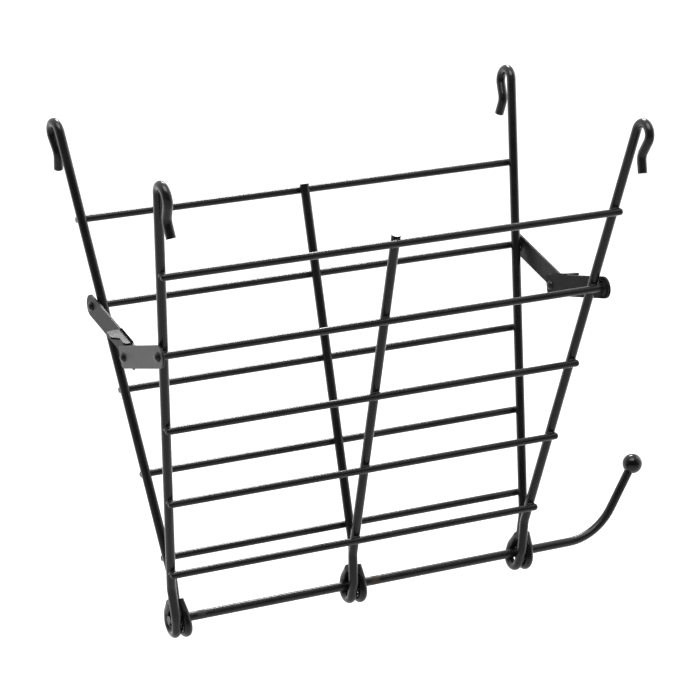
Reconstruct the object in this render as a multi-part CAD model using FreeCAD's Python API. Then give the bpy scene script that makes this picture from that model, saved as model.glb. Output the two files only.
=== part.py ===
import FreeCAD, Part
import math
import os

# Folding wire rack: two tapered wire sides hinged on one bottom rod, held open by a
# two-link stay at each end.  Millimetres and degrees, +Z up, +X along the rod towards
# its ball-ended hook, -Y is the front side.  Built with the rod's axis on X, then moved
# so that the origin is the seat of the front left hook.
OPEN_HALF_ANGLE = 15.6      # lean of each side from the vertical
SPLAY = 0.1177              # sideways run of an outer upright for each mm up the side
HALF_WIDTH = 138.8          # rod middle to the middle of an outer pair of eyes
EYE_OFFSET = 3.8            # an eye sits this far to one side of its pair's middle
UPRIGHT_R = 3.35            # 6.35 mm wire with its coat
CROSS_R = 2.6               # 4.8 mm wire with its coat
ROD_R = 3.3
WELD_SINK = 0.25            # how far a cross wire sinks into an upright at its weld
CROSS_LOWEST = 43.5         # height up the side of the lowest cross wire
CROSS_PITCH = 61.0
LEFT_OVERHANG = 2.6         # cross wire end beyond the middle of the outer upright
RIGHT_OVERHANG = 3.4
MIDDLE_TOP = 291.5          # cut top of a middle upright
HOOK_TOP = 359.0            # centre line of a hook's crown
HOOK_BEND_R = 8.1
EYE_SIDE = 6.95             # wire centre to rod centre in an eye
EYE_BOTTOM = -10.5
ROD_LEFT = -145.4
ROD_BEND_START = 181.2
ROD_BEND_R = 42.0
ROD_BEND_ANGLE = 60.0
ROD_TAIL = 36.9             # straight rod between the bend and the ball's centre
BALL_R = 7.5

LONG_LINK = 75.0            # pivot to pivot
SHORT_LINK = 61.8
LINK_HALF = 7.9             # half the width of a link
LINK_T = 1.6
LONG_FACE = 167.0           # inner face of a long link, from the rack's middle
SHORT_FACE = 174.2          # inner face of a short link
END_SHIFT = 0.6             # rounded end's centre beyond the pivot
LONG_TAIL = 5.2             # square end beyond the middle pivot
SHORT_TAIL = 6.0
PIVOT_HOLE_R = 2.68         # running fit on the cross wire's end
MID_HOLE_R = 2.5
TAB_LENGTH = 20.5           # finger tab bent out of the long link's top edge
TAB_END = 71.2              # from the long link's own pivot
NIB_R = 1.0                 # small nib on the short link's bottom edge
NIB_PLACE = 14.6            # from the middle pivot
TAB_TOP = 11.0
TAB_STEP = 173.8            # short of the other link's path near the pivot
TAB_REACH = 179.0
TAB_SHOULDER = (59.2, 62.4)
HEAD_R = 3.5
HEAD_H = 2.3
WASHER_R = 6.0
LONG_WASHER = (166.1, 166.9)
SHORT_WASHER = (173.3, 174.1)
COLLAR_R = 4.5

SIDES = {"front": -1, "rear": 1}
COLUMNS = {"left": -1, "middle": 0, "right": 1}


def vec(x, y, z):
    return FreeCAD.Vector(x, y, z)


def unit(v):
    return v * (1.0 / v.Length)


def side_axes(side):
    """Directions up a side and straight out of its outer face."""
    a = math.radians(OPEN_HALF_ANGLE)
    s = SIDES[side]
    up = vec(0, s * math.sin(a), math.cos(a))
    out = vec(0, s * math.cos(a), -math.sin(a))
    return up, out


def upright_frame(side, column):
    """Foot of an upright on the rod's axis, and its direction."""
    up, out = side_axes(side)
    c = COLUMNS[column]
    foot = vec(c * HALF_WIDTH + SIDES[side] * EYE_OFFSET, 0, 0)
    along = unit(vec(c * SPLAY, 0, 0) + up)
    return foot, along, out


def rounded_path(points, radii):
    """Straight runs joined by arcs of the given radii."""
    edges = []
    start = points[0]
    for i in range(1, len(points) - 1):
        corner = points[i]
        back = unit(points[i - 1] - corner)
        ahead = unit(points[i + 1] - corner)
        half = back.getAngle(ahead) / 2.0
        r = radii[i - 1]
        first = corner + back * (r / math.tan(half))
        last = corner + ahead * (r / math.tan(half))
        centre = corner + unit(back + ahead) * (r / math.sin(half))
        middle = centre + unit(corner - centre) * r
        if (first - start).Length > 1e-3:
            edges.append(Part.makeLine(start, first))
        edges.append(Part.Arc(first, middle, last).toShape())
        start = last
    edges.append(Part.makeLine(start, points[-1]))
    return edges


def bent_wire(points, radii, r):
    edges = rounded_path(points, radii)
    tangent = points[1] - points[0]
    ring = Part.Wire([Part.makeCircle(r, points[0], tangent)])
    return Part.Wire(edges).makePipeShell([ring], True, False)


def straight_wire(x0, x1, y, z, r):
    bar = Part.makeCylinder(r, x1 - x0, vec(x0, y, z), vec(1, 0, 0))
    rims = [e for e in bar.Edges if e.Curve.TypeId == "Part::GeomCircle"]
    return bar.makeFillet(0.85 * r, rims)


def dome(x, y, z, direction, r, h):
    """Peened rivet head standing on x and pointing along +X or -X."""
    big = (r * r + h * h) / (2.0 * h)
    ball = Part.makeSphere(big, vec(x + direction * (h - big), y, z))
    low = x if direction > 0 else x - h
    slab = Part.makeCylinder(r, h, vec(low, y, z), vec(1, 0, 0))
    return slab.common(ball)


def make_upright(side, column):
    foot, along, out = upright_frame(side, column)

    def at(n, s):
        return foot + out * n + along * s

    eye = [
        at(-2.6, 13.5),
        at(-EYE_SIDE, 3.0),
        at(-EYE_SIDE, EYE_BOTTOM),
        at(EYE_SIDE, EYE_BOTTOM),
        at(EYE_SIDE, 6.0),
        at(0, 28.0),
    ]
    bends = [8.0, EYE_SIDE, EYE_SIDE, 11.0]
    if column == "middle":
        points = eye + [at(0, MIDDLE_TOP)]
        bends = bends + [14.0]
    else:
        hook = [
            at(0, HOOK_TOP),
            at(18.6, HOOK_TOP),
            at(13.2, 337.2),
            at(20.0, 327.0),
        ]
        points = eye + hook
        bends = bends + [14.0, HOOK_BEND_R, HOOK_BEND_R, 8.0]
    return bent_wire(points, bends, UPRIGHT_R)


def cross_height(number):
    return CROSS_LOWEST + CROSS_PITCH * (5 - number)


def cross_place(side, number):
    up, out = side_axes(side)
    return out * (UPRIGHT_R + CROSS_R - WELD_SINK) + up * cross_height(number)


def make_cross_wire(side, number):
    """Cross wires count from the top; number 2 runs on through the stays."""
    p = cross_place(side, number)
    reach = HALF_WIDTH + SPLAY * cross_height(number)
    shift = SIDES[side] * EYE_OFFSET
    if number != 2:
        x0 = shift - reach - LEFT_OVERHANG
        x1 = shift + reach + RIGHT_OVERHANG
        return straight_wire(x0, x1, p.y, p.z, CROSS_R)
    long_end = LONG_FACE + LINK_T + 0.2
    short_end = SHORT_FACE + LINK_T + 0.2
    left = short_end if side == "front" else long_end
    right = long_end if side == "front" else short_end
    bar = Part.makeCylinder(CROSS_R, left + right, vec(-left, p.y, p.z), vec(1, 0, 0))
    bar = bar.fuse(dome(-left, p.y, p.z, -1, HEAD_R, HEAD_H))
    bar = bar.fuse(dome(right, p.y, p.z, 1, HEAD_R, HEAD_H))
    return bar.removeSplitter()


def make_rod():
    a = math.radians(ROD_BEND_ANGLE)
    corner_x = ROD_BEND_START + ROD_BEND_R * math.tan(a / 2.0)
    corner = vec(corner_x, 0, 0)
    reach = ROD_BEND_R * math.tan(a / 2.0) + ROD_TAIL
    tip = corner + vec(math.cos(a), 0, math.sin(a)) * reach
    rod = bent_wire([vec(ROD_LEFT, 0, 0), corner, tip], [ROD_BEND_R], ROD_R)
    return rod, tip


def link_angles():
    """Droop of the long and the short link below the level, from their triangle."""
    p = cross_place("rear", 2)
    d = 2.0 * p.y
    long_cos = (d * d + LONG_LINK ** 2 - SHORT_LINK ** 2) / (2.0 * d * LONG_LINK)
    short_cos = (d * d + SHORT_LINK ** 2 - LONG_LINK ** 2) / (2.0 * d * SHORT_LINK)
    return math.acos(long_cos), math.acos(short_cos)


def stand_link(shape, end, side, droop):
    """Move a link from its own axes (x along, y up, z outward) to the rack."""
    p = cross_place(side, 2)
    s = -SIDES[side]
    e = vec(0, s * math.cos(droop), -math.sin(droop))
    v = vec(0, s * math.sin(droop), math.cos(droop))
    w = e.cross(v)
    m = FreeCAD.Matrix(e.x, v.x, w.x, 0, e.y, v.y, w.y, p.y, e.z, v.z, w.z, p.z, 0, 0, 0, 1)
    return place_by(shape, m)


def place_by(shape, matrix):
    moved = shape.copy()
    moved.Placement = FreeCAD.Placement(matrix)
    return moved


def link_plate(length, tail, low, high, top_corner, low_corner):
    """Flat strip: round at its own pivot, nearly square past the middle pivot."""
    w = LINK_HALF
    far = length + tail
    edges = rounded_path(
        [vec(0, w, low), vec(far, w, low), vec(far, -w, low), vec(0, -w, low)],
        [top_corner, low_corner],
    )
    turn = Part.Arc(vec(0, -w, low), vec(-w, 0, low), vec(0, w, low))
    outline = Part.Wire(edges + [turn.toShape()])
    outline.translate(vec(-END_SHIFT, 0, 0))
    return Part.Face(outline).extrude(vec(0, 0, high - low))


def drill(shape, x, r, low, high):
    return shape.cut(Part.makeCylinder(r, high - low + 2, vec(x, 0, low - 1)))


def stands_at(edge, x, z):
    """True for an edge that runs straight up at x and z."""
    return all(abs(v.X - x) < 1e-6 and abs(v.Z - z) < 1e-6 for v in edge.Vertexes)


def make_long_link():
    low = LONG_FACE
    high = LONG_FACE + LINK_T
    plate = link_plate(LONG_LINK, LONG_TAIL + END_SHIFT, low, high, 1.5, 2.5)
    plate = drill(plate, 0, PIVOT_HOLE_R, low, high)
    plate = drill(plate, LONG_LINK, MID_HOLE_R, low, high)
    under = TAB_TOP - LINK_T
    x0 = TAB_END - TAB_LENGTH
    edges = rounded_path(
        [
            vec(x0, LINK_HALF - 2, low),
            vec(x0, TAB_TOP, low),
            vec(x0, TAB_TOP, TAB_REACH),
            vec(x0, under, TAB_REACH),
            vec(x0, under, high),
            vec(x0, LINK_HALF - 2, high),
        ],
        [2.4, 0.5, 0.5, 0.8],
    )
    edges.append(Part.makeLine(vec(x0, LINK_HALF - 2, high), vec(x0, LINK_HALF - 2, low)))
    tab = Part.Face(Part.Wire(edges)).extrude(vec(TAB_LENGTH, 0, 0))
    level = LINK_HALF - 3
    outline = [
        vec(x0, level, low - 4),
        vec(TAB_END, level, low - 4),
        vec(TAB_END, level, TAB_STEP),
        vec(TAB_SHOULDER[1], level, TAB_STEP),
        vec(TAB_SHOULDER[0], level, TAB_REACH),
        vec(x0, level, TAB_REACH),
    ]
    keep = Part.Face(Part.makePolygon(outline + outline[:1])).extrude(vec(0, 8, 0))
    rounds = (
        (x0, TAB_REACH, 1.6),
        (TAB_SHOULDER[0], TAB_REACH, 1.6),
        (TAB_SHOULDER[1], TAB_STEP, 1.0),
        (TAB_END, TAB_STEP, 2.5),
    )
    for corner_x, corner_z, r in rounds:
        corner = [e for e in keep.Edges if stands_at(e, corner_x, corner_z)]
        keep = keep.makeFillet(r, corner)
    tab = tab.common(keep)
    return plate.fuse(tab).removeSplitter()


def make_short_link():
    low = -SHORT_FACE - LINK_T
    high = -SHORT_FACE
    plate = link_plate(SHORT_LINK, SHORT_TAIL + END_SHIFT, low, high, 2.2, 5.5)
    nib = Part.makeCylinder(NIB_R, LINK_T, vec(SHORT_LINK - NIB_PLACE, -LINK_HALF, low))
    plate = plate.fuse(nib).removeSplitter()
    plate = drill(plate, 0, PIVOT_HOLE_R, low, high)
    return drill(plate, SHORT_LINK, MID_HOLE_R, low, high)


def middle_pivot(end):
    """Middle pivot's place on the stay at one end of the rack."""
    long_droop, short_droop = link_angles()
    side = "rear" if end == "left" else "front"
    p = cross_place(side, 2)
    s = -SIDES[side]
    return p.y + s * LONG_LINK * math.cos(long_droop), p.z - LONG_LINK * math.sin(long_droop)


def make_collar(end):
    """Shouldered rivet fixed in the long link: inner head, shank and collar."""
    y, z = middle_pivot(end)
    s = COLUMNS[end]
    body = dome(s * LONG_FACE, y, z, -s, HEAD_R, HEAD_H)
    outer = LONG_FACE + LINK_T
    for r, near, far in ((MID_HOLE_R, LONG_FACE, outer), (COLLAR_R, outer, SHORT_FACE - 0.2)):
        start = near if s > 0 else -far
        body = body.fuse(Part.makeCylinder(r, far - near, vec(start, y, z), vec(1, 0, 0)))
    return body.removeSplitter()


def make_middle_head(end):
    """Headed end of the middle rivet, fixed in the short link."""
    y, z = middle_pivot(end)
    s = COLUMNS[end]
    outer = SHORT_FACE + LINK_T
    start = SHORT_FACE if s > 0 else -outer
    body = Part.makeCylinder(MID_HOLE_R, LINK_T, vec(start, y, z), vec(1, 0, 0))
    return body.fuse(dome(s * outer, y, z, s, HEAD_R, HEAD_H)).removeSplitter()


def make_washer(side, end):
    p = cross_place(side, 2)
    is_long = (side == "rear") == (end == "left")
    near, far = LONG_WASHER if is_long else SHORT_WASHER
    start = near if end == "right" else -far
    disc = Part.makeCylinder(WASHER_R, far - near, vec(start, p.y, p.z), vec(1, 0, 0))
    return disc.cut(Part.makeCylinder(CROSS_R, far - near + 2, vec(start - 1, p.y, p.z), vec(1, 0, 0)))


def make_weld():
    """Tack weld that fixes the rod's left end in the front left eye."""
    foot, along, out = upright_frame("front", "left")
    place = vec(ROD_LEFT + 0.6, 0, 0) + out * 3.5 - along * 1.0
    return Part.makeSphere(2.0, place)


def hook_seat():
    foot, along, out = upright_frame("front", "left")
    return foot + out * HOOK_BEND_R + along * (HOOK_TOP - HOOK_BEND_R)


def build():
    nodes = {}
    for side in SIDES:
        for column in COLUMNS:
            nodes[side + "_" + column + "_upright"] = make_upright(side, column)
        for number in range(1, 6):
            nodes[side + "_cross_wire_" + str(number)] = make_cross_wire(side, number)
    rod, tip = make_rod()
    nodes["hinge_rod"] = rod
    nodes["ball_end"] = Part.makeSphere(BALL_R, tip).cut(rod)
    nodes["rod_weld"] = make_weld()
    long_droop, short_droop = link_angles()
    for end in ("left", "right"):
        long_side = "rear" if end == "left" else "front"
        short_side = "front" if end == "left" else "rear"
        nodes[end + "_long_link"] = stand_link(make_long_link(), end, long_side, long_droop)
        nodes[end + "_short_link"] = stand_link(make_short_link(), end, short_side, short_droop)
        nodes[end + "_middle_collar"] = make_collar(end)
        nodes[end + "_middle_rivet_head"] = make_middle_head(end)
        for side in SIDES:
            nodes[side + "_" + end + "_washer"] = make_washer(side, end)
    return nodes


os.makedirs("parts", exist_ok=True)
shift = hook_seat() * -1.0
for name, shape in build().items():
    placed = shape.copy()
    placed.translate(shift)
    placed.exportStep("parts/" + name + ".step")
    box = placed.BoundBox
    print(name, placed.isValid(), placed.ShapeType, len(placed.Solids), round(placed.Volume, 1),
          [round(v, 1) for v in (box.XMin, box.XMax, box.YMin, box.YMax, box.ZMin, box.ZMax)])
print("hook seat", hook_seat())
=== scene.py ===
# %% [markdown]
# # A folding wire rack, finished in Blender
# The rack is two tapered wire sides that hinge on one bottom rod and open into a V.
# Its sizes and its joints are already fixed by the imported frame, so Blender adds what a
# maker would do next: welds, softened sheet edges and the black coat over all of it, with
# its own coats for the riveted heads and the moulded ball.

# %% Load the frame
import math

import bpy
from mathutils import Matrix, Vector


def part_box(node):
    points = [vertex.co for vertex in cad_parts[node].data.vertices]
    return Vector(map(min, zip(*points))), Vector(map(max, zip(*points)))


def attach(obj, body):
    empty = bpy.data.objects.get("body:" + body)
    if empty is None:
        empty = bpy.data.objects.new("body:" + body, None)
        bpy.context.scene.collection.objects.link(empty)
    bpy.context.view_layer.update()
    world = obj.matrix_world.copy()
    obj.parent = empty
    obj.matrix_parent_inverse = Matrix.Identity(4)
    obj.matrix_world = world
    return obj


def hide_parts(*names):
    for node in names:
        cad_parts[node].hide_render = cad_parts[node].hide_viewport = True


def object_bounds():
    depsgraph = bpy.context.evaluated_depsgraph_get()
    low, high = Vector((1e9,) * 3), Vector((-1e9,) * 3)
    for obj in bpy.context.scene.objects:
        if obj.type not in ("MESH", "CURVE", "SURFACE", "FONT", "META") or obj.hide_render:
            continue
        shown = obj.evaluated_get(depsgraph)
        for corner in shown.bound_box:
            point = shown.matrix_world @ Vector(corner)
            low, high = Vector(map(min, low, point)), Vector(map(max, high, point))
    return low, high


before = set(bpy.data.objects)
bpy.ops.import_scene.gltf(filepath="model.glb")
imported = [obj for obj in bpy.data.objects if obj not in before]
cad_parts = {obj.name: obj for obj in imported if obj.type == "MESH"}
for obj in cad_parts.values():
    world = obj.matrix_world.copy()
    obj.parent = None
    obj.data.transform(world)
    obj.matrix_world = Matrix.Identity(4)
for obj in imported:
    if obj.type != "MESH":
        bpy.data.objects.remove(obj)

cad_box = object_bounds()
MM = 0.001


# %% Small helpers
def let_go():
    """Nothing selected, nothing active, in object mode."""
    if bpy.context.object and bpy.context.object.mode != "OBJECT":
        bpy.ops.object.mode_set(mode="OBJECT")
    bpy.ops.object.select_all(action="DESELECT")


def hold(piece):
    """Select one piece and make it active."""
    let_go()
    piece.select_set(True)
    bpy.context.view_layer.objects.active = piece
    return piece


def apply_modifiers(piece):
    hold(piece)
    for modifier in list(piece.modifiers):
        bpy.ops.object.modifier_apply(modifier=modifier.name)


def bake_place(piece, matrix=None):
    """Put the piece's place into its mesh, with the object left at the origin."""
    hold(piece)
    if matrix is not None:
        piece.matrix_world = matrix @ piece.matrix_world
    bpy.context.view_layer.update()
    bpy.ops.object.transform_apply(location=True, rotation=True, scale=True)
    return piece


def tidy_mesh(piece, angle=35):
    """Merge doubles, face everything outwards and smooth all but the sharp edges."""
    hold(piece)
    bpy.ops.object.mode_set(mode="EDIT")
    bpy.ops.mesh.select_all(action="SELECT")
    bpy.ops.mesh.remove_doubles(threshold=1e-6)
    bpy.ops.mesh.normals_make_consistent(inside=False)
    bpy.ops.object.mode_set(mode="OBJECT")
    bpy.ops.object.shade_smooth_by_angle(angle=math.radians(angle))
    return piece


def give(piece, body, material):
    """Name what a piece rides on and give it its material."""
    piece.data.materials.clear()
    piece.data.materials.append(material)
    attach(piece, body)
    return piece


def centre_of(node):
    low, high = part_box(node)
    return (low + high) / 2


# %% [markdown]
# ## Where things are
# The frame's own boxes give every place.  The hinge rod lies along X, so the middle of
# its height at the left end is the hinge line, and the lean of a side is the angle from
# the hinge up to its cross wires.

# %% Measure the frame
ROD_R = 3.3 * MM
CROSS_R = 2.6 * MM
EYE_OFFSET = 3.8 * MM
FOOT_HALF_WIDTH = 138.8 * MM
SPLAY = 0.1177
ROD_OVERHANG = 145.4 * MM
rod_low, rod_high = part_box("hinge_rod")
hinge = Vector((0.0, (rod_low.y + rod_high.y) / 2, rod_low.z + ROD_R))
SIDES = {"front": -1, "rear": 1}
COLUMNS = {"left": -1, "middle": 0, "right": 1}
top_wire = centre_of("rear_cross_wire_1") - hinge
bottom_wire = centre_of("rear_cross_wire_5") - hinge
lean = math.atan2(top_wire.y - bottom_wire.y, top_wire.z - bottom_wire.z)
print("hinge line at", [round(v, 4) for v in hinge], "lean", round(math.degrees(lean), 2))


def side_axes(side):
    """Up a side, and straight out of its outer face."""
    s = SIDES[side]
    up = Vector((0, s * math.sin(lean), math.cos(lean)))
    out = Vector((0, s * math.cos(lean), -math.sin(lean)))
    return up, out


# %% [markdown]
# ## The camera
# A long lens stands well back to the left and a little above, so the two sides stay
# nearly parallel and both hooks at the near side show.  It is placed from the hinge line.

# %% Camera
CAMERA_HEADING = math.radians(26.693)
CAMERA_TILT = math.radians(17.093)
CAMERA_ROLL = math.radians(-0.675)
CAMERA_LENS = 156.87
rod_middle = Vector((rod_low.x + ROD_OVERHANG, hinge.y, hinge.z))
camera_place = rod_middle + Vector((-0.9256, -1.8403, 0.8109))
forward = Vector((
    math.sin(CAMERA_HEADING) * math.cos(CAMERA_TILT),
    math.cos(CAMERA_HEADING) * math.cos(CAMERA_TILT),
    -math.sin(CAMERA_TILT),
))
level = forward.cross(Vector((0, 0, 1))).normalized()
upward = level.cross(forward)
right = level * math.cos(CAMERA_ROLL) + upward * math.sin(CAMERA_ROLL)
upward = right.cross(forward)
let_go()
bpy.ops.object.camera_add(location=camera_place)
camera = bpy.context.object
camera.name = "camera"
turn = Matrix((right, upward, -forward)).transposed()
camera.rotation_euler = turn.to_euler()
camera.data.sensor_width = 36
camera.data.lens = CAMERA_LENS
camera.data.clip_start = 0.05
camera.data.clip_end = 50
bpy.context.scene.camera = camera
print("camera", round(camera_place.x, 3), round(camera_place.y, 3), round(camera_place.z, 3))

# %% [markdown]
# ## The black coat
# The wire is powder coated: a baked-on plastic skin that is nearly black, half glossy and
# faintly pebbled like orange peel.  A principled shader gives the gloss.  A fine noise in
# the bump makes the pebbling, and two slower noises vary the roughness and the colour, so
# no two hands' widths of wire catch the light alike.


# %% A helper for shader graphs
def new_material(name):
    material = bpy.data.materials.new(name)
    material.use_nodes = True
    graph = material.node_tree
    shader = graph.nodes["Principled BSDF"]
    place = graph.nodes.new("ShaderNodeTexCoord")
    return material, graph, shader, place.outputs["Object"]


def noise(graph, place, scale, detail=3.0, rough=0.55):
    node = graph.nodes.new("ShaderNodeTexNoise")
    node.inputs["Scale"].default_value = scale
    node.inputs["Detail"].default_value = detail
    node.inputs["Roughness"].default_value = rough
    graph.links.new(place, node.inputs["Vector"])
    return node.outputs["Fac"]


def spread(graph, value, low, high, to_low, to_high):
    """Map a range of a value onto another range, clamped."""
    node = graph.nodes.new("ShaderNodeMapRange")
    node.inputs["From Min"].default_value = low
    node.inputs["From Max"].default_value = high
    node.inputs["To Min"].default_value = to_low
    node.inputs["To Max"].default_value = to_high
    graph.links.new(value, node.inputs["Value"])
    return node.outputs["Result"]


def blend_colours(graph, amount, first, second):
    """Mix two colours; each is a fixed colour or another node's output."""
    node = graph.nodes.new("ShaderNodeMix")
    node.data_type = "RGBA"
    graph.links.new(amount, node.inputs["Factor"])
    for socket, colour in ((node.inputs["A"], first), (node.inputs["B"], second)):
        if isinstance(colour, tuple):
            socket.default_value = (*colour, 1)
        else:
            graph.links.new(colour, socket)
    return node.outputs["Result"]


def add_bump(graph, shader, height, strength, distance, under=None):
    node = graph.nodes.new("ShaderNodeBump")
    node.inputs["Strength"].default_value = strength
    node.inputs["Distance"].default_value = distance
    graph.links.new(height, node.inputs["Height"])
    if under is not None:
        graph.links.new(under, node.inputs["Normal"])
    graph.links.new(node.outputs["Normal"], shader.inputs["Normal"])
    return node.outputs["Normal"]


def powder_coat(name, dark, pale, gloss_low, gloss_high, pebble=0.25, mirror=0.5):
    material, graph, shader, place = new_material(name)
    shader.inputs["Specular IOR Level"].default_value = mirror
    cloud = noise(graph, place, 55, 4)
    dust = noise(graph, place, 900, 2, 0.7)
    tone = blend_colours(graph, spread(graph, cloud, 0.35, 0.7, 0, 1), dark, pale)
    speck = spread(graph, dust, 0.68, 0.8, 0, 0.5)
    colour = blend_colours(graph, speck, tone, (0.09, 0.088, 0.085))
    graph.links.new(colour, shader.inputs["Base Color"])
    sheen = noise(graph, place, 120, 3)
    graph.links.new(
        spread(graph, sheen, 0.3, 0.7, gloss_low, gloss_high), shader.inputs["Roughness"]
    )
    peel = noise(graph, place, 1500, 1.5, 0.4)
    add_bump(graph, shader, peel, pebble, 0.00006)
    return material


# %% Coats for the wires
wire_coat = powder_coat(
    "black_wire_coat", (0.009, 0.009, 0.0095), (0.018, 0.018, 0.0185), 0.17, 0.27, 0.1
)
rivet_coat = powder_coat(
    "rubbed_rivet_coat", (0.01, 0.01, 0.01), (0.03, 0.029, 0.027), 0.18, 0.4, 0.35
)
ball_coat = powder_coat(
    "glossy_ball", (0.006, 0.006, 0.0065), (0.011, 0.011, 0.012), 0.1, 0.18, 0.05
)
weld_coat = powder_coat(
    "coated_weld", (0.012, 0.012, 0.0125), (0.03, 0.029, 0.028), 0.16, 0.3, 0.5
)

# %% [markdown]
# The strips of the stays were coated flat, so their coat is smoother than the wire's.  The
# long strips and the pair at the right end get less mirror, so they read darker: painted shade.
# The rolled edge of every strip has a thin coat, a shade greyer, with the odd bare speck.

# %% Coats for the stays
STRIP_TONES = ((0.016, 0.016, 0.0165), (0.022, 0.022, 0.0225))
strip_coats = {
    ("left", "short"): powder_coat("smooth_strip", *STRIP_TONES, 0.3, 0.35, 0.06, 0.28),
    # less mirror on this strip and the next two darkens them as painted shade
    ("left", "long"): powder_coat("handled_strip", *STRIP_TONES, 0.24, 0.3, 0.06, 0.08),
    ("right", "short"): powder_coat("dull_strip", *STRIP_TONES, 0.34, 0.4, 0.1, 0.12),
    ("right", "long"): powder_coat("dull_tab_strip", *STRIP_TONES, 0.3, 0.36, 0.1, 0.03),
}
# The top face of each finger tab gets a paler, more mirroring coat: a painted highlight.
tab_top_highlight_coat = powder_coat(
    "tab_top_painted_highlight_coat", (0.03, 0.03, 0.03), (0.05, 0.05, 0.049), 0.28, 0.33, 0.012, 0.6
)
edge_coat = powder_coat(
    "thin_edge_coat", (0.02, 0.02, 0.02), (0.055, 0.054, 0.052), 0.24, 0.4, 0.3
)
print("materials:", [m.name for m in bpy.data.materials])

# %% [markdown]
# The rod is the one wire that rubs: the eyes of the sides turn on it.  Beside the middle
# eyes the coat has gone brown and matt, and by the left eyes it is chipped, so the rod
# gets its own coat.  Two bands along X are masked with a ramp up and a ramp down, broken
# up with noise, and mixed into the colour and the roughness.


# %% The rod's coat
def band(graph, along, middle, half, ragged):
    """One inside a band along the rod, fading raggedly to nought at both ends."""
    away = graph.nodes.new("ShaderNodeMath")
    away.operation = "SUBTRACT"
    away.inputs[1].default_value = middle
    graph.links.new(along, away.inputs[0])
    size = graph.nodes.new("ShaderNodeMath")
    size.operation = "ABSOLUTE"
    graph.links.new(away.outputs[0], size.inputs[0])
    shaken = graph.nodes.new("ShaderNodeMath")
    shaken.operation = "MULTIPLY_ADD"
    shaken.inputs[1].default_value = half
    graph.links.new(ragged, shaken.inputs[0])
    graph.links.new(size.outputs[0], shaken.inputs[2])
    return spread(graph, shaken.outputs[0], half, half * 1.5, 1, 0)


def rod_finish():
    material, graph, shader, place = new_material("rubbed_rod_coat")
    cloud = noise(graph, place, 70, 4)
    tone = blend_colours(
        graph, spread(graph, cloud, 0.35, 0.7, 0, 1), (0.01, 0.01, 0.0105), (0.02, 0.02, 0.02)
    )
    split = graph.nodes.new("ShaderNodeSeparateXYZ")
    graph.links.new(place, split.inputs[0])
    ragged = noise(graph, place, 420, 4, 0.7)
    brown = band(graph, split.outputs["X"], rod_middle.x + 17 * MM, 4 * MM, ragged)
    chipped = band(graph, split.outputs["X"], rod_middle.x - 121 * MM, 4 * MM, ragged)
    tone = blend_colours(graph, brown, tone, (0.05, 0.03, 0.02))
    chips = blend_colours(graph, ragged, (0.012, 0.012, 0.012), (0.07, 0.068, 0.064))
    tone = blend_colours(graph, chipped, tone, chips)
    graph.links.new(tone, shader.inputs["Base Color"])
    gloss = spread(graph, noise(graph, place, 120), 0.3, 0.7, 0.22, 0.34)
    worn = graph.nodes.new("ShaderNodeMath")
    worn.operation = "MAXIMUM"
    graph.links.new(brown, worn.inputs[0])
    graph.links.new(chipped, worn.inputs[1])
    matt = graph.nodes.new("ShaderNodeMath")
    matt.operation = "MULTIPLY_ADD"
    matt.use_clamp = True
    matt.inputs[1].default_value = 0.3
    graph.links.new(worn.outputs[0], matt.inputs[0])
    graph.links.new(gloss, matt.inputs[2])
    graph.links.new(matt.outputs[0], shader.inputs["Roughness"])
    peel = add_bump(graph, shader, noise(graph, place, 1500, 1.5, 0.4), 0.1, 0.00006)
    add_bump(graph, shader, ragged, 0.25, 0.0001, peel)
    return material


rod_coat = rod_finish()

# %% Dress the frame
for name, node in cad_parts.items():
    if "link" in name:
        coat = strip_coats[tuple(name.split("_")[:2])]
    elif name == "hinge_rod":
        coat = rod_coat
    elif name == "ball_end":
        coat = ball_coat
    elif "washer" in name or "collar" in name or "rivet" in name:
        coat = rivet_coat
    else:
        coat = wire_coat
    node.data.materials.clear()
    node.data.materials.append(coat)
print("coated", len(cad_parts), "nodes")

# %% [markdown]
# ## The stays
# Each stay is two strips of 1.6 mm sheet, stamped out with rounded ends, so their edges
# are slightly rolled and the coat is thin there.  A link starts as a box as long as the
# strip.  Its own end is rounded by bevelling the two upright corners by nearly half the
# width, and the finger tab is drawn out of the top edge: two cuts across the box mark the
# strip, extrude lifts it, spin bends it through a quarter turn and extrude runs it out.
# Near the middle pivot the tab is cut back, so that the other link can swing past it.
# Last, a bevel all round takes off the sharp edge and gives the rolled edge its own coat.

# %% Link sizes
STRIP = 1.6 * MM
STRIP_HALF = 7.9 * MM
LONG_LINK = 75.0 * MM
SHORT_LINK = 61.8 * MM
LONG_FACE = 167.0 * MM
SHORT_FACE = 174.2 * MM
OWN_END = STRIP_HALF + 0.6 * MM
LONG_TAIL = 5.2 * MM
SHORT_TAIL = 6.0 * MM
TAB_FROM = 50.7 * MM
TAB_TO = 71.2 * MM
TAB_UNDER = 9.4 * MM
TAB_STEP = 173.8 * MM
TAB_REACH = 179.0 * MM
TAB_SHOULDER = (59.2 * MM, 62.4 * MM)
TAB_BEND = 0.7 * MM
CUT_BACK = 0.4 * MM
NIB_AT = SHORT_LINK - 14.6 * MM


# %% Choosing parts of a mesh
def choose(piece, kind, test):
    """In edit mode, select only the faces or edges that pass the test."""
    bpy.ops.mesh.select_all(action="DESELECT")
    bpy.ops.mesh.select_mode(type=kind.upper())
    bpy.ops.object.mode_set(mode="OBJECT")
    mesh = piece.data
    for item in mesh.polygons if kind == "face" else mesh.edges:
        points = [mesh.vertices[i].co for i in item.vertices]
        if test(points):
            item.select = True
    bpy.ops.object.mode_set(mode="EDIT")


def near(a, b):
    return abs(a - b) < 1e-5


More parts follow.
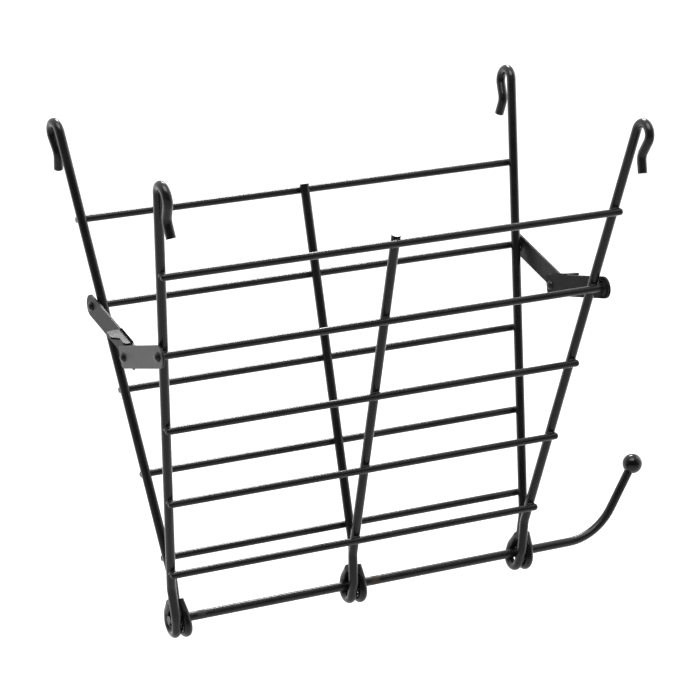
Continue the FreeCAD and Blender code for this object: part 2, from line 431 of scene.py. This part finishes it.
def round_corner(piece, x, y, radius, steps, z=None):
    """Bevel the upright edge at x and y, or the one along Y at x and z."""
    if z is None:
        choose(piece, "edge", lambda p: all(near(q.x, x) and near(q.y, y) for q in p))
    else:
        choose(piece, "edge", lambda p: all(near(q.x, x) and near(q.z, z) for q in p))
    bpy.ops.mesh.bevel(offset=radius, segments=steps, affect="EDGES")


def strip(name, far, low):
    """A box from the rounded end to the far end, standing on z = low."""
    let_go()
    length = far + OWN_END
    middle = ((far - OWN_END) / 2, 0, low + STRIP / 2)
    bpy.ops.mesh.primitive_cube_add(size=1, location=middle)
    piece = bpy.context.object
    piece.name = name
    piece.scale = (length, 2 * STRIP_HALF, STRIP)
    bpy.ops.object.transform_apply(location=True, rotation=True, scale=True)
    bpy.ops.object.mode_set(mode="EDIT")
    return piece


def cut_across(piece, x):
    bpy.ops.mesh.select_all(action="SELECT")
    bpy.ops.mesh.bisect(plane_co=(x, 0, 0), plane_no=(1, 0, 0))


def long_link(name):
    far = LONG_LINK + LONG_TAIL
    piece = strip(name, far, LONG_FACE)
    for x in (TAB_FROM, TAB_SHOULDER[0], TAB_SHOULDER[1], TAB_TO):
        cut_across(piece, x)
    choose(piece, "face", lambda p: all(near(q.y, STRIP_HALF) for q in p)
           and TAB_FROM < sum(q.x for q in p) / len(p) < TAB_TO)
    rise = TAB_UNDER - TAB_BEND - STRIP_HALF
    bpy.ops.mesh.extrude_region_move(TRANSFORM_OT_translate={"value": (0, rise, 0)})
    turning = (0, TAB_UNDER - TAB_BEND, LONG_FACE + STRIP + TAB_BEND)
    bpy.ops.mesh.spin(steps=8, angle=math.radians(90), center=turning, axis=(1, 0, 0))
    reach = TAB_STEP - LONG_FACE - STRIP - TAB_BEND
    bpy.ops.mesh.extrude_region_move(TRANSFORM_OT_translate={"value": (0, 0, reach)})
    choose(piece, "face", lambda p: all(near(q.z, TAB_STEP) for q in p)
           and sum(q.x for q in p) / len(p) < TAB_SHOULDER[1])
    reach = TAB_REACH - TAB_STEP
    bpy.ops.mesh.extrude_region_move(TRANSFORM_OT_translate={"value": (0, 0, reach)})
    choose(piece, "edge", lambda p: all(near(q.z, TAB_REACH)
                                        and near(q.x, TAB_SHOULDER[1]) for q in p))
    back = TAB_SHOULDER[0] - TAB_SHOULDER[1] + CUT_BACK
    bpy.ops.transform.translate(value=(back, 0, 0))
    round_corner(piece, TAB_FROM, 0, 1.6 * MM, 5, z=TAB_REACH)
    round_corner(piece, TAB_SHOULDER[0] + CUT_BACK, 0, 0.3 * MM, 3, z=TAB_REACH)
    round_corner(piece, TAB_TO, 0, 2.5 * MM, 6, z=TAB_STEP)
    for y, radius in ((STRIP_HALF, 1.5 * MM), (-STRIP_HALF, 2.5 * MM)):
        round_corner(piece, far, y, radius, 5)
        round_corner(piece, -OWN_END, y, STRIP_HALF - 0.05 * MM, 12)
    return piece


def short_link(name):
    far = SHORT_LINK + SHORT_TAIL
    piece = strip(name, far, -SHORT_FACE - STRIP)
    cut_across(piece, NIB_AT - 0.9 * MM)
    cut_across(piece, NIB_AT + 0.9 * MM)
    choose(piece, "face", lambda p: all(near(q.y, -STRIP_HALF) for q in p)
           and near(sum(q.x for q in p) / len(p), NIB_AT))
    bpy.ops.mesh.extrude_region_move(TRANSFORM_OT_translate={"value": (0, -0.9 * MM, 0)})
    bpy.ops.transform.resize(value=(0.45, 1, 1))
    for y, radius in ((STRIP_HALF, 2.2 * MM), (-STRIP_HALF, 5.5 * MM)):
        round_corner(piece, far, y, radius, 8)
        round_corner(piece, -OWN_END, y, STRIP_HALF - 0.05 * MM, 12)
    return piece


# %% Stand the links up
def pivot_of(side):
    """The middle of the second cross wire, on which that side's links turn."""
    place = centre_of(side + "_cross_wire_2")
    return Vector((rod_middle.x, place.y, place.z))


def stay_axes(end, side):
    """From local link axes to the rack: along the link, across it, and outwards."""
    own = pivot_of(side)
    middle = centre_of(end + "_middle_collar")
    along_link = Vector((0, middle.y - own.y, middle.z - own.z)).normalized()
    across = Vector((0, -along_link.z, along_link.y))
    if across.z < 0:
        across = -across
    outwards = along_link.cross(across)
    place = Matrix((along_link, across, outwards)).transposed().to_4x4()
    place.translation = own
    return place


def finish_link(piece, place, coat):
    bpy.ops.object.mode_set(mode="OBJECT")
    for material in (coat, edge_coat, tab_top_highlight_coat):
        piece.data.materials.append(material)
    # the upward faces of the tab take the third, paler coat: a painted highlight
    for face in piece.data.polygons:
        if face.center.y > TAB_UNDER and face.normal.y > 0.9:
            face.material_index = 2
    bake_place(piece, place)
    tidy_mesh(piece)
    soften = piece.modifiers.new("rolled_edge", "BEVEL")
    soften.width = 0.35 * MM
    soften.segments = 3
    soften.limit_method = "ANGLE"
    soften.angle_limit = math.radians(40)
    soften.material = 1
    apply_modifiers(piece)
    bpy.ops.object.shade_smooth_by_angle(angle=math.radians(35))
    return piece


LONG_SIDE = {"left": "rear", "right": "front"}
SHORT_SIDE = {"left": "front", "right": "rear"}
for end in ("left", "right"):
    for kind, make, side in (("long", long_link, LONG_SIDE[end]),
                             ("short", short_link, SHORT_SIDE[end])):
        link = make(end + "_" + kind + "_strip")
        finish_link(link, stay_axes(end, side), strip_coats[end, kind])
        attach(link, end + "_" + kind + "_stay")
        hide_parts(end + "_" + kind + "_link")
        low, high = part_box(end + "_" + kind + "_link")
        corners = [v.co for v in link.data.vertices]
        gap = max(abs(min(c[i] for c in corners) - low[i]) for i in range(3))
        print(link.name, len(corners), "points, off its frame link by", round(gap / MM, 2), "mm")

# %% [markdown]
# ## Welds at the crossings
# Where a cross wire meets an upright the two were squeezed together while hot, so a
# small collar of metal stands out round the contact.  One collar is made from a short
# drum between the two wires: a cut round its middle is drawn in like a waist, and a
# subdivision surface melts the steps away.  It is then copied to every crossing.


# %% Weld collars
COLLAR_RADIUS = 3.1 * MM
COLLAR_HALF = 1.5 * MM
COLLAR_WAIST = 0.82
COLLAR_SINK = 0.1 * MM


def weld_master():
    let_go()
    bpy.ops.mesh.primitive_cylinder_add(
        vertices=20, radius=COLLAR_RADIUS, depth=2 * COLLAR_HALF
    )
    piece = bpy.context.object
    bpy.ops.object.mode_set(mode="EDIT")
    bpy.ops.mesh.select_all(action="SELECT")
    bpy.ops.mesh.bisect(plane_co=(0, 0, 0), plane_no=(0, 0, 1))
    choose(piece, "edge", lambda p: all(near(q.z, 0) for q in p))
    bpy.ops.transform.resize(value=(COLLAR_WAIST, COLLAR_WAIST, 1))
    choose(piece, "face", lambda p: all(near(abs(q.z), COLLAR_HALF) for q in p) and len(p) > 4)
    bpy.ops.mesh.inset(thickness=0.5 * MM)
    bpy.ops.object.mode_set(mode="OBJECT")
    melt = piece.modifiers.new("melt", "SUBSURF")
    melt.levels = 1
    melt.render_levels = 1
    apply_modifiers(piece)
    return piece


def put_copy(master, name, place):
    """A copy of a master with its own mesh, put in place and tidied."""
    copy = master.copy()
    copy.data = master.data.copy()
    copy.name = name
    bpy.context.scene.collection.objects.link(copy)
    bake_place(copy, place)
    return tidy_mesh(copy, 60)


def cross_axis(side, number):
    place = centre_of(side + "_cross_wire_" + str(number))
    return Vector((0, place.y, place.z))


# %% Find the crossings and weld them
def upright_x(side, column, height):
    """Where an upright's middle stands, a given height up its side."""
    low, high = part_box(side + "_" + column + "_upright")
    if column == "middle":
        return (low.x + high.x) / 2
    foot = rod_middle.x + SIDES[side] * EYE_OFFSET + COLUMNS[column] * FOOT_HALF_WIDTH
    return foot + COLUMNS[column] * SPLAY * height


collar = weld_master()
for side in SIDES:
    up, out = side_axes(side)
    for number in range(1, 6):
        axis = cross_axis(side, number)
        height = (axis - Vector((0, hinge.y, hinge.z))).dot(up)
        for column in COLUMNS:
            contact = axis - out * (CROSS_R - COLLAR_SINK)
            contact.x = upright_x(side, column, height)
            across = Vector((1, 0, 0))
            place = Matrix((across, up * SIDES[side], out)).transposed()
            if place.determinant() < 0:
                place = Matrix((across, -up * SIDES[side], out)).transposed()
            place = Matrix.Translation(contact) @ place.to_4x4()
            name = "weld_" + side + "_" + column + "_" + str(number)
            bead = put_copy(collar, name, place)
            give(bead, side + "_panel", weld_coat)
bpy.data.objects.remove(collar)

# %% [markdown]
# ## Floor and light
# The rack hangs when in use, so the pale floor lies a little way below it and takes only
# a faint shadow.  A wide soft box overhead draws the pale band along each cross wire, a
# tall one at the right draws a rim down the uprights, and a small one behind catches the
# finger tabs.  The surroundings are bright behind the rack and dark before it, so that
# glossy black wire reads as black.

# %% Floor
let_go()
floor_level = rod_low.z - 0.28
bpy.ops.mesh.primitive_plane_add(size=14, location=(0.2, 0.6, floor_level))
floor = bpy.context.object
floor.name = "floor"
floor_material, floor_graph, floor_shader, floor_place = new_material("pale_floor")
floor_shader.inputs["Base Color"].default_value = (0.46, 0.46, 0.46, 1)
floor_shader.inputs["Roughness"].default_value = 0.9
floor_shader.inputs["Specular IOR Level"].default_value = 0.1
floor_shader.inputs["Emission Color"].default_value = (1, 1, 1, 1)
# the glow rises from nothing in front of the rack to full behind it
along = floor_graph.nodes.new("ShaderNodeVectorMath")
along.operation = "DOT_PRODUCT"
along.inputs[1].default_value = (math.sin(CAMERA_HEADING), math.cos(CAMERA_HEADING), 0)
floor_graph.links.new(floor_place, along.inputs[0])
floor_graph.links.new(
    spread(floor_graph, along.outputs["Value"], -0.8, 0.3, 0.0, 0.95),
    floor_shader.inputs["Emission Strength"],
)
floor.data.materials.append(floor_material)

# %% Surroundings
world = bpy.data.worlds.new("studio")
bpy.context.scene.world = world
world.use_nodes = True
sky = world.node_tree.nodes["Background"]
facing = world.node_tree.nodes.new("ShaderNodeTexCoord")
behind = world.node_tree.nodes.new("ShaderNodeVectorMath")
behind.operation = "DOT_PRODUCT"
behind.inputs[1].default_value = (math.sin(CAMERA_HEADING), math.cos(CAMERA_HEADING), 0)
world.node_tree.links.new(facing.outputs["Generated"], behind.inputs[0])
world.node_tree.links.new(
    spread(world.node_tree, behind.outputs["Value"], -0.55, 0.05, 0.04, 0.95),
    sky.inputs["Strength"],
)
sky.inputs["Color"].default_value = (1, 1, 1, 1)
seen = world.node_tree.nodes.new("ShaderNodeBackground")
seen.inputs["Color"].default_value = (1, 1, 1, 1)
seen.inputs["Strength"].default_value = 1.0
which = world.node_tree.nodes.new("ShaderNodeLightPath")
mixer = world.node_tree.nodes.new("ShaderNodeMixShader")
world_links = world.node_tree.links
world_links.new(which.outputs["Is Camera Ray"], mixer.inputs["Fac"])
world_links.new(sky.outputs["Background"], mixer.inputs[1])
world_links.new(seen.outputs["Background"], mixer.inputs[2])
world_links.new(mixer.outputs["Shader"], world.node_tree.nodes["World Output"].inputs["Surface"])


# %% Soft boxes
def soft_box(name, place, aim, width, height, watts):
    let_go()
    bpy.ops.object.light_add(type="AREA", location=place)
    lamp = bpy.context.object
    lamp.name = name
    lamp.data.shape = "RECTANGLE"
    lamp.data.size = width
    lamp.data.size_y = height
    lamp.data.energy = watts
    direction = Vector(aim) - Vector(place)
    lamp.rotation_euler = direction.to_track_quat("-Z", "Y").to_euler()
    return lamp


aim = (cad_box[0] + cad_box[1]) / 2
soft_box("overhead", aim + Vector((-0.25, -0.45, 1.5)), aim, 1.3, 0.9, 16)
tab_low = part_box("left_long_link")[0]
tab = Vector((tab_low.x, tab_low.y + 20 * MM, tab_low.z + 25 * MM))
soft_box("back_strip", tab + 1.7 * Vector((0.418, 0.596, 0.685)), tab, 0.5, 0.4, 16)
soft_box("right_strip", aim + Vector((1.6, 0.25, 0.5)), aim, 0.25, 1.3, 4)
bpy.context.scene.view_settings.view_transform = "Standard"
